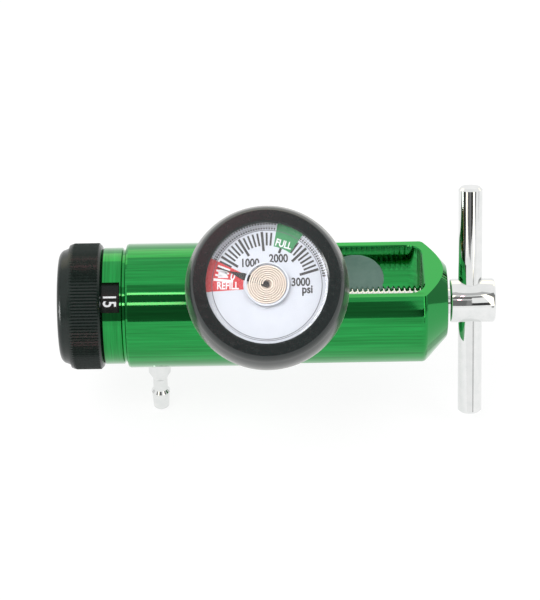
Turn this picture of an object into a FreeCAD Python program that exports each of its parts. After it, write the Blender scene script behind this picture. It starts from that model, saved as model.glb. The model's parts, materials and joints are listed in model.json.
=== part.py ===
"""Oxygen regulator for a post valve, in millimetres.

X runs along the body: the flow knob is at -X and the tee handle at +X.
Z runs through the yoke window, as the cylinder post does, with the post's top at +Z.
The gauge leans 45 degrees from +Z towards -Y, where the user stands.
The origin is on the body axis, in the face of the sealing washer that meets the post.
"""
import math
import os

import FreeCAD
import Part

from FreeCAD import Rotation, Vector

# Running clearances and seats
RUN_GAP = 0.05          # radial, between a turning or sliding piece and its bore
SEAT_GAP = 0.02         # radial, between pieces that are screwed or pressed together
FACE_GAP = 0.25         # axial, between faces that pass each other
TRIM_GAP = 0.1          # round soft pieces

# Body and yoke
BODY_DIA = 37.8
YOKE_STEP = 0.2         # the yoke is turned this much lower than the body
YOKE_DIA = BODY_DIA - 2 * YOKE_STEP
BODY_LENGTH = 49.2      # from the washer seat to the knob end
BODY_EDGE = 0.8
FLAT_DEPTH = 6.65
YOKE_FLATS = BODY_DIA - 2 * FLAT_DEPTH  # across the two milled flats
ARM_DEPTH = 6.7         # of each arm beside the window
WINDOW_WIDTH = YOKE_DIA - 2 * ARM_DEPTH
WINDOW_LENGTH = 40.4
WINDOW_CORNER = 4.5
WINDOW_BREAK = 0.3
END_WALL = 7.4          # from the window to the end face
END_CONE_LENGTH = 7.2
END_CONE_DEPTH = 7.9    # radial
END_FACE_DIA = YOKE_DIA - 2 * END_CONE_DEPTH
END_CONE_EDGE = 2.0
END_FACE_EDGE = 1.2

# Sealing washer, inlet nipple and index pins
WASHER_DIA = 12.6
WASHER_BORE = 7.4
WASHER_THICKNESS = 2.4
WASHER_LIP = 0.35
NIPPLE_ROOT_DIA = 7.2
NIPPLE_NOSE_DIA = 6.8
NIPPLE_NOSE_LENGTH = 3.0
NIPPLE_NOSE_CHAMFER = 0.6
NIPPLE_THREAD_DIA = 9.0
NIPPLE_DEPTH = 5.0
NIPPLE_BORE = 2.4
FILTER_DIA = 4.4
FILTER_LENGTH = 2.4
PIN_DIA = 3.97
PIN_ROOT_DIA = 4.3      # pressed into the body
PIN_EDGE = 4.61         # from the pin's axis to the body's side
PIN_CIRCLE = BODY_DIA / 2 - PIN_EDGE  # 14.29, radius from the nipple's axis
PIN_SPREAD = 18.0       # degrees each side of straight down
PIN_STAND = 5.6
PIN_DEPTH = 6.0
PIN_CHAMFER = 0.7

# Clamp screw, tee bar and thrust tip
SCREW_DIA = 9.525
SCREW_TIP_X = 12.0
SCREW_NECK_DIA = 8.0
HUB_DIA = 13.4
HUB_LENGTH = 13.7
HUB_GAP = 1.0           # between the end face and the hub
HUB_CHAMFER = 0.9
BAR_DIA = 7.3
BAR_LENGTH = 71.0
BAR_FROM_HUB = 6.2      # from the hub's inner face to the bar's axis
BAR_ANGLE = -20.5       # degrees from +Z towards -Y
BAR_CHAMFER = 0.7
TIP_DIA = 11.4
TIP_LENGTH = 5.0
TIP_CONE = 2.2
TIP_POINT_DIA = 5.4
SPIGOT_DIA = 4.6
SPIGOT_LENGTH = 3.2

# Bonnet collar and flow window
COLLAR_STEP = 1.15      # below the body's side
COLLAR_DIA = BODY_DIA - 2 * COLLAR_STEP
COLLAR_LENGTH = 5.6
COLLAR_SKIRT_WALL = 1.2
COLLAR_WEB = 0.75
COLLAR_NECK_STEP = 0.65
COLLAR_NECK_DIA = COLLAR_DIA - 2 * COLLAR_NECK_STEP
COLLAR_NECK_LENGTH = 0.8
COLLAR_EDGE = 0.35
BONNET_WALL = 4.4       # body wall round the collar's spigot
COLLAR_SPIGOT_DIA = BODY_DIA - 2 * BONNET_WALL
COLLAR_SPIGOT_LENGTH = 6.2
FLOW_WINDOW_ANGLE = 30.0
READING_ANGLE = 45.0    # gauge and flow window, degrees from +Z towards -Y

# Flow knob
KNOB_OVER = 0.3         # above the body's side
KNOB_DIA = BODY_DIA + 2 * KNOB_OVER
KNOB_GAP = 0.5          # to the collar
KNOB_BAND = 9.2
KNOB_BAND_CHAMFER = 0.8
KNURL_RUN_OUT = 1.4     # cone at the band's outer end
KNURL_RUN_OUT_DEPTH = 0.48
KNOB_DOME_STEP = 1.3    # radial, from the band to the domed end
KNOB_DOME_DIA = KNOB_DIA - 2 * KNOB_DOME_STEP
KNOB_DOME = 4.05
KNOB_DOME_TAPER = 0.6   # radial
KNOB_DOME_SHOULDER = 2.6
KNOB_CROWN = 0.8
KNOB_CROWN_DIA = KNOB_DOME_DIA - 6.6
KNOB_WALL = 3.4
KNOB_HUB_DIA = 13.0
KNURL_TEETH = 120
KNURL_DEPTH = 0.38
SKIRT_WALL = 1.5
SKIRT_FLOOR = 1.2
GRUB_DIA = 3.0
GRUB_LENGTH = 4.0

# Selector: shaft, metering disc, seals and detent
SHAFT_DIA = 8.0
SHAFT_FLANGE_DIA = 12.0
SHAFT_FLANGE = 1.0
SHAFT_BOSS_DIA = 5.0
DISC_SIDE = 1.0         # between the disc and the chamber's wall
DISC_THICKNESS = 1.4
DISC_RIM = 3.9          # from the holes' circle to the disc's edge
FLOW_STEPS = 12
FLOW_HOLE_FIRST = 0.35  # the smallest metering hole
FLOW_HOLE_GROWTH = 0.06
SEAL_CORD = 1.78
DETENT_CIRCLE = 9.6     # radius
DETENT_BALL_DIA = 3.2
DETENT_LANE_SIDE = 0.1  # radial, beside the ball
DETENT_LANE = 0.35
DETENT_DIMPLE = 0.15    # below the lane's floor
DETENT_POCKET = 6.0
DETENT_WIRE = 0.5
DETENT_TURNS = 3.0

# Port plate and regulating piston
CHAMBER_STEP = 2.0      # from the spigot's bore to the chamber
CHAMBER_DIA = COLLAR_SPIGOT_DIA - 2 * CHAMBER_STEP
CHAMBER_END = -37.2     # the port plate's outer face
PORT_PLATE = 4.0
PORT_DIA = 2.0
PISTON_STEP = 0.5
PISTON_BORE = CHAMBER_DIA - 2 * PISTON_STEP
PISTON_HEAD = 4.5
PISTON_HEAD_GAP = 0.6   # from the port plate to the head, valve open
PISTON_STEM_DIA = 7.0
SPRING_ROOM = 8.6       # from the head to the chamber's floor
PISTON_STEM_LENGTH = 15.9
STEM_SEAL_DEPTH = 2.0   # from the chamber's floor to the stem's groove
PISTON_TRAVEL = 0.8
PISTON_DRILL = 1.6
PISTON_CROSS_DRILL = 1.2
SEAT_DIA = 3.4
SEAT_LENGTH = 1.4
SPRING_MEAN_DIA = 13.0
SPRING_WIRE = 2.0
SPRING_TURNS = 2.6
VENT_DIA = 1.6
INLET_DRILL = 2.0

# Gauge, measured along its own axis from the body axis
GAUGE_FROM_SEAT = 6.5
STEM_THREAD_DIA = 9.6
STEM_THREAD_DEPTH = 8.6
STEM_SQUARE = 11.0
STEM_TOP = 23.4
CASE_DIA = 41.2
CASE_BACK = 22.4
CASE_FRONT = 40.0
CASE_WALL = 0.9
DIAL_LEVEL = 37.6
DIAL_THICKNESS = 0.5
DIAL_SIDE = 0.5         # between the dial and the case's wall
DIAL_DIA = CASE_DIA - 2 * CASE_WALL - 2 * DIAL_SIDE
DIAL_HOLE_DIA = 11.0
CRYSTAL_FRONT = 41.4
CRYSTAL_FLANGE = 1.1
CRYSTAL_SIDE = 0.2      # inside the case's outline
CRYSTAL_DIA = CASE_DIA - 2 * CRYSTAL_SIDE
CRYSTAL_BEVEL = 1.0
LIP_REACH = 2.9         # of the boot's lip over the case
VIEW_DIA = CASE_DIA - 2 * LIP_REACH
COIL_FIRST_RADIUS = 1.5
COIL_SPACING = 0.62     # from one turn to the next
COIL_BAND = 0.4
COIL_HALF_TURNS = 14
COIL_HEIGHT = 1.0
COIL_LEVEL = 38.65
COIL_RING_DIA = 13.0    # white ring behind the crystal, round the coil
COIL_RING_WALL = 0.55
COIL_RING_HEIGHT = 1.1
POST_DIA = 5.0
ARBOR_DIA = 1.5
ARBOR_DEPTH = 3.4       # into the post, below the dial
POINTER_ANGLE = 160.0   # degrees on the dial, from +X towards the dial's top
POINTER_LENGTH = 15.3
POINTER_ROOT = 7.3
POINTER_WIDTH = 2.0     # at the root, where the coil's ring ends
POINTER_FOOT_WIDTH = 1.5
POINTER_SHOULDER = 11.1
POINTER_NEEDLE = 0.34
POINTER_THICKNESS = 0.3
POINTER_LEVEL = 38.25
BOOT_BACK = 21.6
BOOT_FRONT = 42.6
BOOT_BACK_WALL = 1.7
BOOT_BACK_DIA = CASE_DIA + 2 * BOOT_BACK_WALL
BOOT_BELLY = 33.0
BOOT_BELLY_WALL = 3.45
BOOT_BELLY_DIA = CASE_DIA + 2 * BOOT_BELLY_WALL
BOOT_FRONT_WALL = 0.8
BOOT_FRONT_DIA = CASE_DIA + 2 * BOOT_FRONT_WALL
BOOT_SHOULDER = 39.4
BOOT_SHOULDER_WALL = 2.3
BOOT_SHOULDER_DIA = CASE_DIA + 2 * BOOT_SHOULDER_WALL
BOOT_ROUND = 0.35
BOOT_EDGE = 1.2
BOOT_BACK_HOLE = 17.0

# Outlet barb, straight down
BARB_X_FROM_END = 8.7
BARB_THREAD_DIA = 6.4
BARB_THREAD_DEPTH = 3.3
BARB_FLANGE_DIA = 7.0
BARB_FLANGE = 6.3
BARB_CONE = 2.7
BARB_NECK_DIA = 4.5
BARB_NECK = 4.2
BARB_RIDGE_DIA = 5.8
BARB_RIDGE = 0.9
BARB_NOSE = 6.4
BARB_TIP_DIA = 4.9
BARB_TIP_ROUND = 0.6
BARB_BORE = 2.4

# Round tag on the far arm of the yoke
TAG_DIA = 18.0
TAG_THICKNESS = 0.3

# Places that follow from the sizes above
SEAT_X = -WASHER_THICKNESS
BODY_END_X = SEAT_X - BODY_LENGTH
WINDOW_END_X = SEAT_X + WINDOW_LENGTH
YOKE_END_X = WINDOW_END_X + END_WALL
CONE_START_X = YOKE_END_X - END_CONE_LENGTH
GAUGE_X = SEAT_X - GAUGE_FROM_SEAT
BARB_X = BODY_END_X + BARB_X_FROM_END
COLLAR_RIGHT_X = BODY_END_X - COLLAR_NECK_LENGTH
COLLAR_LEFT_X = COLLAR_RIGHT_X - COLLAR_LENGTH
COLLAR_FLOOR_X = COLLAR_RIGHT_X - COLLAR_WEB
DISC_DIA = CHAMBER_DIA - 2 * DISC_SIDE
DISC_HOLE_CIRCLE = DISC_DIA / 2 - DISC_RIM  # radius
SKIRT_RADIUS = COLLAR_DIA / 2 - COLLAR_SKIRT_WALL - RUN_GAP
KNOB_RIGHT_X = COLLAR_LEFT_X - KNOB_GAP
KNOB_BAND_X = KNOB_RIGHT_X - KNOB_BAND
KNOB_END_X = KNOB_BAND_X - KNOB_DOME
SKIRT_END_X = COLLAR_FLOOR_X - FACE_GAP
SKIRT_FLOOR_X = SKIRT_END_X - SKIRT_FLOOR
COLLAR_SPIGOT_END_X = BODY_END_X + COLLAR_SPIGOT_LENGTH
DISC_FACE_X = CHAMBER_END - FACE_GAP
PISTON_HEAD_X = CHAMBER_END + PORT_PLATE + PISTON_HEAD_GAP
PISTON_FLOOR_X = PISTON_HEAD_X + PISTON_HEAD + SPRING_ROOM
STEM_END_X = PISTON_HEAD_X + PISTON_HEAD + PISTON_STEM_LENGTH
HUB_LEFT_X = YOKE_END_X + HUB_GAP
BAR_X = HUB_LEFT_X + BAR_FROM_HUB


def along_x(x0, x1, diameter, y=0.0, z=0.0):
    """A round bar from x0 to x1."""
    return Part.makeCylinder(diameter / 2, x1 - x0, Vector(x0, y, z), Vector(1, 0, 0))


def ring_x(x0, x1, outer, inner):
    """A flat ring or tube from x0 to x1."""
    return along_x(x0, x1, outer).cut(along_x(x0 - 1, x1 + 1, inner))


def turned_x(points):
    """Turn a closed outline of (x, radius) points about the body axis."""
    outline = Part.makePolygon([Vector(x, r, 0) for x, r in points + points[:1]])
    return Part.Face(outline).revolve(Vector(0, 0, 0), Vector(1, 0, 0), 360)


def turned_z(points):
    """Turn a closed outline of (radius, height) points about Z."""
    outline = Part.makePolygon([Vector(r, 0, h) for r, h in points + points[:1]])
    return Part.Face(outline).revolve(Vector(0, 0, 0), Vector(0, 0, 1), 360)


def rod_z(h0, h1, diameter, x=0.0, y=0.0):
    """A round bar along Z from h0 to h1."""
    return Part.makeCylinder(diameter / 2, h1 - h0, Vector(x, y, h0), Vector(0, 0, 1))


def block(x0, x1, y0, y1, z0, z1):
    return Part.makeBox(x1 - x0, y1 - y0, z1 - z0, Vector(x0, y0, z0))


def lean(shape, x, angle):
    """Place a shape made along +Z on the body axis at x, leant from +Z towards -Y."""
    placed = shape.copy()
    placed.rotate(Vector(0, 0, 0), Vector(1, 0, 0), angle)
    placed.translate(Vector(x, 0, 0))
    return placed


def to_down(shape, x):
    return lean(shape, x, 180)


def torus_x(x, mean_radius, cord):
    return Part.makeTorus(mean_radius, cord / 2, Vector(x, 0, 0), Vector(1, 0, 0))


def rounded_window(width, length, corner, depth):
    """The yoke window as a solid that passes through along Z."""
    cutter = block(0, length, -width / 2, width / 2, -depth, depth)
    upright = [
        edge
        for edge in cutter.Edges
        if abs(edge.tangentAt(edge.FirstParameter).z) > 0.99
    ]
    return cutter.makeFillet(corner, upright)


def yoke_body():
    """Turned blank, milled flats and window, then the bores from the knob end."""
    half = BODY_DIA / 2
    yoke = YOKE_DIA / 2
    blank = turned_x([
        (BODY_END_X, 0),
        (BODY_END_X, half - BODY_EDGE),
        (BODY_END_X + BODY_EDGE * 0.3, half - BODY_EDGE * 0.3),
        (BODY_END_X + BODY_EDGE, half),
        (SEAT_X, half),
        (SEAT_X, yoke),
        (CONE_START_X, yoke),
        (YOKE_END_X, END_FACE_DIA / 2),
        (YOKE_END_X, 0),
    ])
    cone_edge = [
        edge
        for edge in blank.Edges
        if abs(edge.BoundBox.XMin - CONE_START_X) < 0.01
        and abs(edge.BoundBox.XMax - CONE_START_X) < 0.01
    ]
    blank = blank.makeFillet(END_CONE_EDGE, cone_edge)
    face_edge = [
        edge
        for edge in blank.Edges
        if edge.BoundBox.XMin > YOKE_END_X - 0.01
        and edge.BoundBox.ZMax > END_FACE_DIA / 2 - 0.01
    ]
    body = blank.makeFillet(END_FACE_EDGE, face_edge)
    for side in (1, -1):
        flat = block(SEAT_X, YOKE_END_X + 1, -BODY_DIA, BODY_DIA, 0, BODY_DIA)
        flat.translate(Vector(0, 0, YOKE_FLATS / 2))
        if side < 0:
            flat.rotate(Vector(0, 0, 0), Vector(1, 0, 0), 180)
        body = body.cut(flat)
    window = rounded_window(WINDOW_WIDTH, WINDOW_LENGTH, WINDOW_CORNER, BODY_DIA)
    window.translate(Vector(SEAT_X, 0, 0))
    body = body.cut(window)
    for corner_y in (1, -1):
        corner = block(
            SEAT_X,
            SEAT_X + WINDOW_CORNER,
            0,
            WINDOW_CORNER,
            -BODY_DIA,
            BODY_DIA,
        )
        corner.translate(Vector(0, WINDOW_WIDTH / 2 - WINDOW_CORNER, 0))
        if corner_y < 0:
            corner.rotate(Vector(0, 0, 0), Vector(1, 0, 0), 180)
        body = body.cut(corner)
    rim = [
        edge
        for edge in body.Edges
        if abs(abs(edge.CenterOfMass.z) - YOKE_FLATS / 2) < 0.01
        and edge.BoundBox.YMax - edge.BoundBox.YMin < WINDOW_WIDTH + 0.1
        and abs(edge.CenterOfMass.y) < WINDOW_WIDTH / 2 + 0.01
        and edge.BoundBox.XMin > SEAT_X - 0.01
        and edge.BoundBox.XMax < WINDOW_END_X + 0.01
        and not (edge.BoundBox.XMax < SEAT_X + 0.01)
    ]
    body = body.makeChamfer(WINDOW_BREAK, rim)
    body = body.cut(along_x(WINDOW_END_X - 1, YOKE_END_X + 1, SCREW_DIA + 2 * RUN_GAP))
    body = body.cut(along_x(BODY_END_X - 1, CHAMBER_END, COLLAR_SPIGOT_DIA + 2 * SEAT_GAP))
    body = body.cut(along_x(CHAMBER_END, CHAMBER_END + PORT_PLATE, CHAMBER_DIA + 2 * SEAT_GAP))
    body = body.cut(along_x(CHAMBER_END, PISTON_FLOOR_X, PISTON_BORE))
    body = body.cut(along_x(
        PISTON_FLOOR_X - 1,
        STEM_END_X + PISTON_TRAVEL + SEAT_GAP,
        PISTON_STEM_DIA + 2 * RUN_GAP,
    ))
    body = body.cut(along_x(PISTON_FLOOR_X, SEAT_X, INLET_DRILL))
    body = body.cut(along_x(SEAT_X - NIPPLE_DEPTH, SEAT_X + 1, NIPPLE_THREAD_DIA + 2 * SEAT_GAP))
    for pin_y, pin_z in pin_places():
        body = body.cut(along_x(SEAT_X - PIN_DEPTH, SEAT_X + 1, PIN_ROOT_DIA + 2 * SEAT_GAP, pin_y, pin_z))
    stem_hole = rod_z(STEM_THREAD_DEPTH, BODY_DIA, STEM_THREAD_DIA + 2 * SEAT_GAP)
    stem_drill = rod_z(0, BODY_DIA, INLET_DRILL)
    body = body.cut(lean(stem_hole.fuse(stem_drill), GAUGE_X, READING_ANGLE))
    barb_floor = BODY_DIA / 2 - BARB_THREAD_DEPTH
    barb_hole = rod_z(barb_floor, BODY_DIA, BARB_THREAD_DIA + 2 * SEAT_GAP)
    barb_drill = rod_z(COLLAR_SPIGOT_DIA / 2 - 1, BODY_DIA, BARB_BORE)
    body = body.cut(to_down(barb_hole.fuse(barb_drill), BARB_X))
    vent = rod_z(0, BODY_DIA, VENT_DIA)
    return body.cut(lean(vent, PISTON_FLOOR_X - VENT_DIA, READING_ANGLE + 180))


def pin_places():
    """The two index pins, below the nipple."""
    places = []
    for side in (-1, 1):
        angle = math.radians(side * PIN_SPREAD)
        places.append((PIN_CIRCLE * math.sin(angle), -PIN_CIRCLE * math.cos(angle)))
    return places


def index_pins():
    pins = []
    for pin_y, pin_z in pin_places():
        root = along_x(SEAT_X - PIN_DEPTH, SEAT_X, PIN_ROOT_DIA, pin_y, pin_z)
        pin = along_x(SEAT_X, SEAT_X + PIN_STAND - PIN_CHAMFER, PIN_DIA, pin_y, pin_z)
        nose = Part.makeCone(
            PIN_DIA / 2,
            PIN_DIA / 2 - PIN_CHAMFER,
            PIN_CHAMFER,
            Vector(SEAT_X + PIN_STAND - PIN_CHAMFER, pin_y, pin_z),
            Vector(1, 0, 0),
        )
        pins.append(pin.fuse([root, nose]).removeSplitter())
    return Part.makeCompound(pins)


def inlet_nipple():
    root = NIPPLE_ROOT_DIA / 2
    nose = NIPPLE_NOSE_DIA / 2
    thread = NIPPLE_THREAD_DIA / 2
    solid = turned_x([
        (SEAT_X - NIPPLE_DEPTH, 0),
        (SEAT_X - NIPPLE_DEPTH, thread),
        (SEAT_X, thread),
        (SEAT_X, root),
        (0, root),
        (0, nose),
        (NIPPLE_NOSE_LENGTH - NIPPLE_NOSE_CHAMFER, nose),
        (NIPPLE_NOSE_LENGTH, nose - NIPPLE_NOSE_CHAMFER),
        (NIPPLE_NOSE_LENGTH, 0),
    ])
    solid = solid.cut(along_x(SEAT_X - NIPPLE_DEPTH - 1, NIPPLE_NOSE_LENGTH + 1, NIPPLE_BORE))
    pocket = along_x(
        SEAT_X - NIPPLE_DEPTH - 1,
        SEAT_X - NIPPLE_DEPTH + FILTER_LENGTH,
        FILTER_DIA + 2 * SEAT_GAP,
    )
    return solid.cut(pocket)


def inlet_filter():
    return along_x(SEAT_X - NIPPLE_DEPTH, SEAT_X - NIPPLE_DEPTH + FILTER_LENGTH, FILTER_DIA)


def sealing_washer():
    """Metal ring with a raised rubber lip on each face."""
    outer = WASHER_DIA / 2
    bore = WASHER_BORE / 2
    middle = (outer + bore) / 2
    return turned_x([
        (SEAT_X, bore),
        (SEAT_X, outer - WASHER_LIP),
        (SEAT_X + WASHER_LIP, outer),
        (-WASHER_LIP, outer),
        (-WASHER_LIP, middle + WASHER_LIP),
        (0, middle),
        (0, bore),
    ])


def tee_screw():
    """Hub and threaded rod, turned in one piece, cross drilled for the bar."""
    rod = SCREW_DIA / 2
    hub = HUB_DIA / 2
    hub_end = HUB_LEFT_X + HUB_LENGTH
    solid = turned_x([
        (SCREW_TIP_X, 0),
        (SCREW_TIP_X, rod - 0.8),
        (SCREW_TIP_X + 0.8, rod),
        (YOKE_END_X - 0.5, rod),
        (YOKE_END_X, SCREW_NECK_DIA / 2),
        (HUB_LEFT_X, SCREW_NECK_DIA / 2),
        (HUB_LEFT_X, hub - 0.4),
        (HUB_LEFT_X + 0.4, hub),
        (hub_end - HUB_CHAMFER, hub),
        (hub_end, hub - HUB_CHAMFER),
        (hub_end, 0),
    ])
    solid = solid.cut(lean(rod_z(-HUB_DIA, HUB_DIA, BAR_DIA + 2 * SEAT_GAP), BAR_X, BAR_ANGLE))
    spigot = along_x(SCREW_TIP_X - 1, SCREW_TIP_X + SPIGOT_LENGTH, SPIGOT_DIA + 2 * RUN_GAP)
    return solid.cut(spigot)


def tee_bar():
    half = BAR_LENGTH / 2
    radius = BAR_DIA / 2
    bar = turned_z([
        (0, -half),
        (radius - BAR_CHAMFER, -half),
        (radius, -half + BAR_CHAMFER),
        (radius, half - BAR_CHAMFER),
        (radius - BAR_CHAMFER, half),
        (0, half),
    ])
    return lean(bar, BAR_X, BAR_ANGLE)


def thrust_tip():
    """Swivelling foot that presses into the dimple of the post."""
    back = SCREW_TIP_X - FACE_GAP
    front = back - TIP_LENGTH
    return turned_x([
        (front, 0),
        (front, TIP_POINT_DIA / 2 - 0.6),
        (front + 0.6, TIP_POINT_DIA / 2),
        (front + TIP_CONE, TIP_DIA / 2),
        (back - 0.4, TIP_DIA / 2),
        (back, TIP_DIA / 2 - 0.4),
        (back, SPIGOT_DIA / 2),
        (back + SPIGOT_LENGTH, SPIGOT_DIA / 2),
        (back + SPIGOT_LENGTH, 0),
    ])


def bonnet_collar():
    """Ring that closes the bore, with a cup for the number skirt and the flow window."""
    outer = COLLAR_DIA / 2
    cup = outer - COLLAR_SKIRT_WALL
    neck = COLLAR_NECK_DIA / 2
    spigot = COLLAR_SPIGOT_DIA / 2
    bore = SHAFT_DIA / 2 + RUN_GAP
    solid = turned_x([
        (COLLAR_LEFT_X, cup),
        (COLLAR_LEFT_X, outer - COLLAR_EDGE),
        (COLLAR_LEFT_X + COLLAR_EDGE, outer),
        (COLLAR_RIGHT_X - COLLAR_EDGE, outer),
        (COLLAR_RIGHT_X, outer - COLLAR_EDGE),
        (COLLAR_RIGHT_X, neck),
        (BODY_END_X, neck),
        (BODY_END_X, spigot),
        (COLLAR_SPIGOT_END_X, spigot),
        (COLLAR_SPIGOT_END_X, bore),
        (COLLAR_FLOOR_X, bore),
        (COLLAR_FLOOR_X, cup),
    ])
    reach = COLLAR_DIA
    half_chord = reach * math.tan(math.radians(FLOW_WINDOW_ANGLE / 2))
    wedge_face = Part.Face(Part.makePolygon([
        Vector(COLLAR_LEFT_X - 1, 0, 0),
        Vector(COLLAR_LEFT_X - 1, -half_chord, reach),
        Vector(COLLAR_LEFT_X - 1, half_chord, reach),
        Vector(COLLAR_LEFT_X - 1, 0, 0),
    ]))
    wedge = wedge_face.extrude(Vector(COLLAR_FLOOR_X - COLLAR_LEFT_X + 1, 0, 0))
    solid = solid.cut(lean(wedge, 0, READING_ANGLE))
    seal_x = shaft_seal_x()
    groove = ring_x(
        seal_x - SEAL_CORD / 2 - TRIM_GAP,
        seal_x + SEAL_CORD / 2 + TRIM_GAP,
        SHAFT_DIA + 2 * SEAL_CORD + 2 * RUN_GAP,
        SHAFT_DIA - 1,
    )
    solid = solid.cut(groove)
    pocket = rod_at(DETENT_CIRCLE, COLLAR_FLOOR_X - 1, COLLAR_FLOOR_X + DETENT_POCKET,
                    DETENT_BALL_DIA + 2 * RUN_GAP)
    return solid.cut(pocket)


def rod_at(radius, x0, x1, diameter, turn=0.0):
    """A round bar along X, off the axis on the reading side."""
    angle = math.radians(READING_ANGLE + turn)
    return along_x(x0, x1, diameter, -radius * math.sin(angle), radius * math.cos(angle))


def shaft_seal_x():
    return (COLLAR_FLOOR_X + COLLAR_SPIGOT_END_X) / 2


def shaft_seal():
    return torus_x(shaft_seal_x(), SHAFT_DIA / 2 + SEAL_CORD / 2 + RUN_GAP / 2, SEAL_CORD)


def knurl_cutter(x0, x1, outer_radius, depth, teeth):
    """One V groove of a straight knurl, along X at the top of the band."""
    half = math.pi * outer_radius / teeth * 0.98
    tip = outer_radius - depth
    top = outer_radius + 0.2
    spread = half * (1 + 0.2 / depth)
    face = Part.Face(Part.makePolygon([
        Vector(x0, 0, tip),
        Vector(x0, -spread, top),
        Vector(x0, spread, top),
        Vector(x0, 0, tip),
    ]))
    return face.extrude(Vector(x1 - x0, 0, 0))


def flow_knob():
    """Cap with a knurled band, a domed end and a hub on the selector shaft."""
    band = KNOB_DIA / 2
    dome = KNOB_DOME_DIA / 2
    root = band - KNURL_DEPTH
    inside_x = KNOB_END_X + KNOB_WALL
    hub = KNOB_HUB_DIA / 2
    cavity = SKIRT_RADIUS + SEAT_GAP
    crown = KNOB_CROWN_DIA / 2
    end = Vector(KNOB_END_X, 0, 0)
    crown_edge = Vector(KNOB_END_X + KNOB_CROWN, crown, 0)
    shoulder = Vector(KNOB_END_X + KNOB_DOME_SHOULDER, dome - KNOB_DOME_TAPER, 0)
    half_crown = Vector(KNOB_END_X + KNOB_CROWN / 4, crown / 2, 0)
    bulge = (KNOB_DOME_SHOULDER - KNOB_CROWN) / 4
    half_round = (crown_edge + shoulder) * 0.5 + Vector(-bulge, bulge, 0)
    rest = [shoulder] + [Vector(x, r, 0) for x, r in [
        (KNOB_BAND_X, dome),
        (KNOB_BAND_X, band - KNURL_RUN_OUT_DEPTH),
        (KNOB_BAND_X + KNURL_RUN_OUT, band),
        (KNOB_RIGHT_X - KNOB_BAND_CHAMFER, band),
        (KNOB_RIGHT_X, band - KNOB_BAND_CHAMFER),
        (KNOB_RIGHT_X, cavity),
        (inside_x, cavity),
        (inside_x, hub),
        (SKIRT_FLOOR_X - SEAT_GAP, hub),
        (SKIRT_FLOOR_X - SEAT_GAP, 0),
    ]] + [end]
    outline = [
        Part.Arc(end, half_crown, crown_edge).toShape(),
        Part.Arc(crown_edge, half_round, shoulder).toShape(),
    ]
    outline += [Part.makeLine(a, b) for a, b in zip(rest, rest[1:])]
    shell = Part.Face(Part.Wire(outline)).revolve(Vector(0, 0, 0), Vector(1, 0, 0), 360)
    knurled = shell.common(ring_x(KNOB_BAND_X, KNOB_RIGHT_X, KNOB_DIA + 2, 2 * root - 1))
    plain = shell.cut(ring_x(KNOB_BAND_X, KNOB_RIGHT_X, KNOB_DIA + 2, 2 * root - 1))
    cutter = knurl_cutter(KNOB_BAND_X - 1, KNOB_RIGHT_X + 1, band, KNURL_DEPTH, KNURL_TEETH)
    cutters = []
    for tooth in range(KNURL_TEETH):
        turned = cutter.copy()
        turned.rotate(Vector(0, 0, 0), Vector(1, 0, 0), 360.0 * tooth / KNURL_TEETH)
        cutters.append(turned)
    knurled = knurled.cut(cutters)
    knob = plain.fuse(knurled).removeSplitter()
    shaft_hole = along_x(inside_x, SKIRT_FLOOR_X, SHAFT_DIA + 2 * SEAT_GAP)
    knob = knob.cut(shaft_hole)
    grub = rod_z(0, KNOB_DIA, GRUB_DIA + 2 * SEAT_GAP)
    return knob.cut(lean(grub, grub_x(), READING_ANGLE + 180))


def grub_x():
    return KNOB_RIGHT_X - KNOB_BAND / 2


def knob_set_screw():
    start = SHAFT_DIA / 2
    screw = rod_z(start, start + GRUB_LENGTH, GRUB_DIA)
    socket_depth = GRUB_LENGTH * 0.4
    socket = rod_z(start + GRUB_LENGTH - socket_depth, start + GRUB_LENGTH + 1, GRUB_DIA / 2)
    return lean(screw.cut(socket), grub_x(), READING_ANGLE + 180)


def number_skirt():
    """Ring that carries the flow numbers under the collar's window, with the detent floor."""
    outer = SKIRT_RADIUS
    hub = SHAFT_DIA / 2 + SEAT_GAP
    solid = turned_x([
        (KNOB_END_X + KNOB_WALL, outer),
        (SKIRT_END_X, outer),
        (SKIRT_END_X, hub),
        (SKIRT_FLOOR_X, hub),
        (SKIRT_FLOOR_X, outer - SKIRT_WALL),
        (KNOB_END_X + KNOB_WALL, outer - SKIRT_WALL),
    ])
    dimples = []
    dimple_x = SKIRT_END_X - DETENT_LANE - DETENT_DIMPLE + DETENT_BALL_DIA / 2
    for step in range(FLOW_STEPS):
        angle = math.radians(READING_ANGLE + 360.0 * step / FLOW_STEPS)
        centre = Vector(
            dimple_x,
            -DETENT_CIRCLE * math.sin(angle),
            DETENT_CIRCLE * math.cos(angle),
        )
        dimples.append(Part.makeSphere(DETENT_BALL_DIA / 2, centre))
    lane = ring_x(
        SKIRT_END_X - DETENT_LANE,
        SKIRT_END_X + 1,
        2 * DETENT_CIRCLE + DETENT_BALL_DIA + 2 * DETENT_LANE_SIDE,
        2 * DETENT_CIRCLE - DETENT_BALL_DIA - 2 * DETENT_LANE_SIDE,
    )
    solid = solid.cut(lane).cut(dimples)
    grub = rod_z(0, KNOB_DIA, GRUB_DIA + 1)
    return solid.cut(lean(grub, grub_x(), READING_ANGLE + 180))


def detent_ball_x():
    """The ball rests on the lane between two dimples' edges, clear of the skirt by the running gap."""
    return SKIRT_END_X - DETENT_LANE + DETENT_BALL_DIA / 2 + RUN_GAP


def detent_ball():
    angle = math.radians(READING_ANGLE)
    centre = Vector(
        detent_ball_x(),
        -DETENT_CIRCLE * math.sin(angle),
        DETENT_CIRCLE * math.cos(angle),
    )
    return Part.makeSphere(DETENT_BALL_DIA / 2, centre)


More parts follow.
